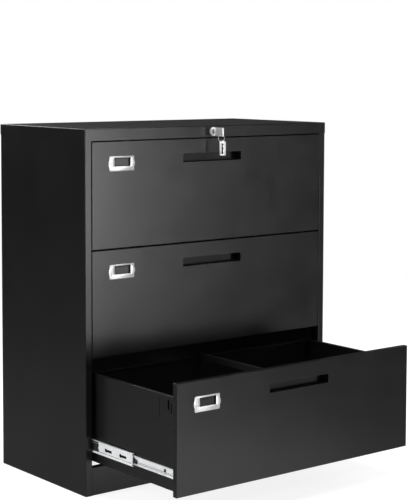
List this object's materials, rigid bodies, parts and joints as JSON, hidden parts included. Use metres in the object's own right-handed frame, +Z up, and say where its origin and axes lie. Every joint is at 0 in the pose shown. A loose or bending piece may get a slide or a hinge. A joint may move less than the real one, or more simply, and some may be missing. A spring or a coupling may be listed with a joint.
{
  "type": "lateral filing cabinet",
  "caption": "Wide sheet-steel filing cabinet with flush drawers on ball-bearing slides, recessed handles, label holders and a keyed central lock; lowest drawer open.",
  "frame": {"origin": "on the floor, under the middle of the space the cabinet fills with its lowest drawer out, as stored", "axes": "+Z up, -Y the way the drawers open, +X to the right of someone facing the fronts"},
  "size_m": [0.9, 0.8354, 1.025],
  "materials": {
    "carcass_paint": "satin black powder coat",
    "front_paint": "satin black powder coat, fine texture",
    "box_paint": "satin black powder coat",
    "slide_zinc": "bright zinc plate",
    "label_chrome": "bright chrome plate",
    "lock_chrome": "bright chrome plate",
    "lock_steel": "turned steel",
    "key_nickel": "nickel plate",
    "stop_plastic": "black moulded plastic of the slides' stops"
  },
  "bodies": {
    "cabinet": {"left_side_panel": "carcass_paint", "right_side_panel": "carcass_paint", "back_panel": "carcass_paint", "top_cap": "carcass_paint", "kick_plate": "carcass_paint", "left_front_upright": "carcass_paint", "left_rear_upright": "carcass_paint", "right_front_upright": "carcass_paint", "right_rear_upright": "carcass_paint", "bottom_left_slide_outer": "slide_zinc", "bottom_right_slide_outer": "slide_zinc", "middle_left_slide_outer": "slide_zinc", "middle_right_slide_outer": "slide_zinc", "top_left_slide_outer": "slide_zinc", "top_right_slide_outer": "slide_zinc", "lock_housing": "lock_chrome", "lock_nut": "lock_steel"},
    "bottom_slide_middles": {"bottom_left_slide_middle": "slide_zinc", "bottom_right_slide_middle": "slide_zinc"},
    "middle_slide_middles": {"middle_left_slide_middle": "slide_zinc", "middle_right_slide_middle": "slide_zinc"},
    "top_slide_middles": {"top_left_slide_middle": "slide_zinc", "top_right_slide_middle": "slide_zinc"},
    "bottom_drawer": {"bottom_drawer_front": "front_paint", "bottom_handle_recess": "front_paint", "bottom_label_holder": "label_chrome", "bottom_drawer_left_side": "box_paint", "bottom_drawer_right_side": "box_paint", "bottom_drawer_inner_front": "box_paint", "bottom_drawer_back": "box_paint", "bottom_drawer_bottom": "box_paint", "bottom_left_slide_inner": "slide_zinc", "bottom_right_slide_inner": "slide_zinc"},
    "middle_drawer": {"middle_drawer_front": "front_paint", "middle_handle_recess": "front_paint", "middle_label_holder": "label_chrome", "middle_drawer_left_side": "box_paint", "middle_drawer_right_side": "box_paint", "middle_drawer_inner_front": "box_paint", "middle_drawer_back": "box_paint", "middle_drawer_bottom": "box_paint", "middle_left_slide_inner": "slide_zinc", "middle_right_slide_inner": "slide_zinc"},
    "top_drawer": {"top_drawer_front": "front_paint", "top_handle_recess": "front_paint", "top_label_holder": "label_chrome", "top_drawer_left_side": "box_paint", "top_drawer_right_side": "box_paint", "top_drawer_inner_front": "box_paint", "top_drawer_back": "box_paint", "top_drawer_bottom": "box_paint", "top_left_slide_inner": "slide_zinc", "top_right_slide_inner": "slide_zinc"},
    "bottom_crossbar": {"bottom_crossbar": "box_paint"},
    "middle_crossbar": {"middle_crossbar": "box_paint"},
    "top_crossbar": {"top_crossbar": "box_paint"},
    "lock_plug": {"lock_plug": "lock_steel", "lock_tailpiece": "lock_steel"},
    "lock_bar": {"lock_bar": "slide_zinc"},
    "key": {"key": "key_nickel"}
  },
  "joints": [
    {"name": "bottom_drawer_slide", "type": "slide", "parent": "cabinet", "child": "bottom_drawer", "axis": [0, -1, 0], "range_m": [-0.384, 0]},
    {"name": "middle_drawer_slide", "type": "slide", "parent": "cabinet", "child": "middle_drawer", "axis": [0, -1, 0], "range_m": [0, 0.384]},
    {"name": "top_drawer_slide", "type": "slide", "parent": "cabinet", "child": "top_drawer", "axis": [0, -1, 0], "range_m": [0, 0.384]},
    {"name": "bottom_middle_members", "type": "slide", "parent": "cabinet", "child": "bottom_slide_middles", "axis": [0, -1, 0], "range_m": [-0.204, 0]},
    {"name": "middle_middle_members", "type": "slide", "parent": "cabinet", "child": "middle_slide_middles", "axis": [0, -1, 0], "range_m": [0, 0.204]},
    {"name": "top_middle_members", "type": "slide", "parent": "cabinet", "child": "top_slide_middles", "axis": [0, -1, 0], "range_m": [0, 0.204]},
    {"name": "bottom_crossbar_slide", "type": "slide", "parent": "bottom_drawer", "child": "bottom_crossbar", "axis": [1, 0, 0], "range_m": [-0.375, 0.415]},
    {"name": "middle_crossbar_slide", "type": "slide", "parent": "middle_drawer", "child": "middle_crossbar", "axis": [1, 0, 0], "range_m": [-0.375, 0.415]},
    {"name": "top_crossbar_slide", "type": "slide", "parent": "top_drawer", "child": "top_crossbar", "axis": [1, 0, 0], "range_m": [-0.375, 0.415]},
    {"name": "lock_turn", "type": "hinge", "parent": "cabinet", "child": "lock_plug", "pos_m": [0, -0.0312, 1.007], "axis": [0, 1, 0], "range_deg": [0, 90]},
    {"name": "lock_bar_lift", "type": "slide", "parent": "cabinet", "child": "lock_bar", "axis": [0, 0, 1], "range_m": [0, 0.009]},
    {"name": "key_pull", "type": "slide", "parent": "lock_plug", "child": "key", "axis": [0, -1, 0], "range_m": [0, 0.03]}
  ],
  "couplings": [
    {"joint": "bottom_middle_members", "follows": "bottom_drawer_slide", "ratio": 0.53125},
    {"joint": "middle_middle_members", "follows": "middle_drawer_slide", "ratio": 0.53125},
    {"joint": "top_middle_members", "follows": "top_drawer_slide", "ratio": 0.53125},
    {"joint": "lock_turn", "follows": "lock_bar_lift", "rad_per_m": 174.53}
  ]
}
